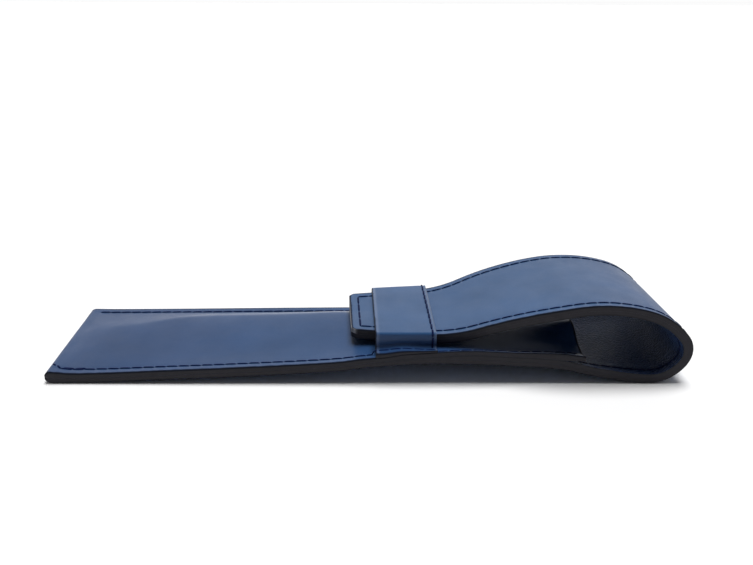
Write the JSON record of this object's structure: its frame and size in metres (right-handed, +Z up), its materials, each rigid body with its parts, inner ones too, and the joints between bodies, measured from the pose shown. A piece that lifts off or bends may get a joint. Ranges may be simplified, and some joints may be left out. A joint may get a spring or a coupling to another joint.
{
  "type": "leather pen case with tuck-in flap",
  "caption": "Slim sewn leather pen case: a flat folded pocket whose back rolls round in an open loop and comes back as a tongue tucked under a keeper band.",
  "frame": {"origin": "centre of the case's underside, on the surface it lies on", "axes": "+X along the case from the closed end to the loop, +Y to the far long side, +Z up through the front"},
  "size_m": [0.1656, 0.04, 0.0216],
  "materials": {
    "blue_leather": "smooth satin leather, dark painted edges",
    "lining_leather": "matte pebbled dark navy lining",
    "thread": "waxed dark blue sewing thread"
  },
  "bodies": {
    "case": {"outer_leather_case": "blue_leather", "lining_case": "lining_leather", "keeper_band": "blue_leather", "keeper_hem_thread": "thread", "front_thread_near": "thread", "front_thread_far": "thread", "back_thread_near": "thread", "back_thread_far": "thread"},
    "loop_base": {"outer_leather_loop_base": "blue_leather", "lining_loop_base": "lining_leather", "outer_thread_loop_base_near": "thread", "outer_thread_loop_base_far": "thread", "lining_thread_loop_base_near": "thread", "lining_thread_loop_base_far": "thread"},
    "bend_1": {"outer_leather_bend_1": "blue_leather", "lining_bend_1": "lining_leather", "outer_thread_bend_1_near": "thread", "outer_thread_bend_1_far": "thread", "lining_thread_bend_1_near": "thread", "lining_thread_bend_1_far": "thread"},
    "bend_2": {"outer_leather_bend_2": "blue_leather", "lining_bend_2": "lining_leather", "outer_thread_bend_2_near": "thread", "outer_thread_bend_2_far": "thread", "lining_thread_bend_2_near": "thread", "lining_thread_bend_2_far": "thread"},
    "bend_3": {"outer_leather_bend_3": "blue_leather", "lining_bend_3": "lining_leather", "outer_thread_bend_3_near": "thread", "outer_thread_bend_3_far": "thread", "lining_thread_bend_3_near": "thread", "lining_thread_bend_3_far": "thread"},
    "crown": {"outer_leather_crown": "blue_leather", "lining_crown": "lining_leather", "outer_thread_crown_near": "thread", "outer_thread_crown_far": "thread", "lining_thread_crown_near": "thread", "lining_thread_crown_far": "thread", "outer_leather_slope": "blue_leather", "lining_slope": "lining_leather", "outer_thread_slope_near": "thread", "outer_thread_slope_far": "thread", "lining_thread_slope_near": "thread", "lining_thread_slope_far": "thread"},
    "flap": {"outer_leather_tongue": "blue_leather", "lining_tongue": "lining_leather", "outer_thread_tongue": "thread", "lining_thread_tongue": "thread"}
  },
  "joints": [
    {"name": "tongue_draw", "type": "slide", "parent": "case", "child": "loop_base", "axis": [1, 0, 0], "range_m": [0, 0.0115]},
    {"name": "flap_swing", "type": "hinge", "parent": "loop_base", "child": "bend_1", "pos_m": [0.07966, 0, 0.00257], "axis": [0, 1, 0], "range_deg": [0, 42]},
    {"name": "nose_swing", "type": "hinge", "parent": "bend_1", "child": "bend_2", "pos_m": [0.08242, 0, 0.00759], "axis": [0, 1, 0], "range_deg": [0, 42]},
    {"name": "shoulder_swing", "type": "hinge", "parent": "bend_2", "child": "bend_3", "pos_m": [0.08112, 0, 0.01244], "axis": [0, 1, 0], "range_deg": [0, 42]},
    {"name": "crown_swing", "type": "hinge", "parent": "bend_3", "child": "crown", "pos_m": [0.06925, 0, 0.01997], "axis": [0, 1, 0], "range_deg": [0, 42]},
    {"name": "flap_draw", "type": "slide", "parent": "crown", "child": "flap", "axis": [1, 0, 0], "range_m": [0, 0.0115], "deforming": ["outer_leather_slope", "lining_slope", "outer_thread_slope_near", "outer_thread_slope_far", "lining_thread_slope_near", "lining_thread_slope_far"]}
  ],
  "couplings": [
    {"joint": "nose_swing", "follows": "flap_swing", "ratio": 1},
    {"joint": "shoulder_swing", "follows": "flap_swing", "ratio": 1},
    {"joint": "crown_swing", "follows": "flap_swing", "ratio": 1},
    {"joint": "flap_draw", "follows": "tongue_draw", "ratio": 1}
  ]
}
